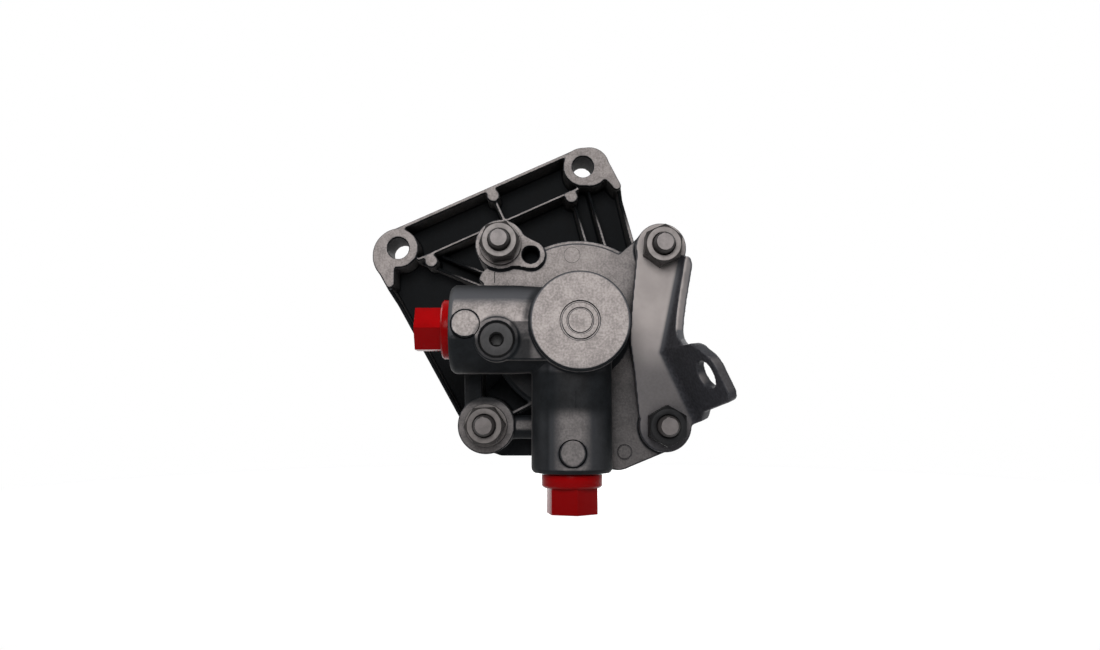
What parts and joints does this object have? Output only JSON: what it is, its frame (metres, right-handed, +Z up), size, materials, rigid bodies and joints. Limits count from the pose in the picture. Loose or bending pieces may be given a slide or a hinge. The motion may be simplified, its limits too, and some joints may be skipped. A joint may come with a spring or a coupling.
{
  "type": "power steering pump",
  "caption": "Vane pump with a cast two-hole mounting flange, plugged side and bottom ports, stud-clamped housing, bent steel support bracket with an eye, and a splined drive shaft.",
  "frame": {"origin": "centre of the locating spigot, on the shaft axis, in the plane of the mounting face", "axes": "+Y along the shaft out of the drive end, +Z up as the pump is mounted, with the inlet port pointing down, +X to the right seen from the port end"},
  "size_m": [0.1791, 0.1608, 0.1928],
  "materials": {
    "cast_flange": "cast, fine grain",
    "cast_housing": "cast, fine grain",
    "rubber": "matt",
    "bright_steel": "ground",
    "spring_steel": "oiled",
    "brass_cage": "machined",
    "shaft_steel": "turned",
    "plate_steel": "ground",
    "bronze": "sintered",
    "dark_plug": "phosphated",
    "red_plastic": "glossy",
    "stud_steel": "zinc plated",
    "nut_steel": "zinc plated",
    "dark_nut": "blackened",
    "bracket_steel": "satin"
  },
  "bodies": {
    "pump": {"mounting_flange": "cast_flange", "pump_housing": "cast_housing", "body_seal": "rubber", "shaft_seal": "rubber", "bearing_outer_race": "bright_steel", "bearing_circlip": "spring_steel", "front_plate": "plate_steel", "cam_ring": "plate_steel", "rear_plate": "plate_steel", "plate_seal": "rubber", "locating_dowels": "bright_steel", "rear_bush": "bronze", "flow_spring": "spring_steel", "spool_stop_ring": "spring_steel", "gallery_plug": "dark_plug", "gallery_plug_seal": "rubber", "outlet_plug": "red_plastic", "inlet_plug": "red_plastic", "studs": "stud_steel", "nuts": "nut_steel", "dark_nut": "dark_nut", "washers": "nut_steel", "support_bracket": "bracket_steel"},
    "shaft": {"drive_shaft": "shaft_steel", "rotor": "shaft_steel", "vanes": "bright_steel", "rotor_circlip": "spring_steel", "bearing_inner_race": "bright_steel"},
    "cage": {"bearing_balls": "bright_steel", "bearing_cage": "brass_cage"},
    "spool": {"flow_spool": "bright_steel"}
  },
  "joints": [
    {"name": "shaft_spin", "type": "hinge", "parent": "pump", "child": "shaft", "pos_m": [0, 0, 0], "axis": [0, 1, 0], "continuous": true},
    {"name": "cage_spin", "type": "hinge", "parent": "pump", "child": "cage", "pos_m": [0, 0, 0], "axis": [0, 1, 0], "continuous": true},
    {"name": "spool_slide", "type": "slide", "parent": "pump", "child": "spool", "axis": [1, 0, 0], "range_m": [0, 0.004], "stiffness_N_per_m": 2500, "springref_m": -0.004, "deforming": ["flow_spring"]}
  ],
  "couplings": [
    {"joint": "cage_spin", "follows": "shaft_spin", "ratio": 0.3815}
  ]
}
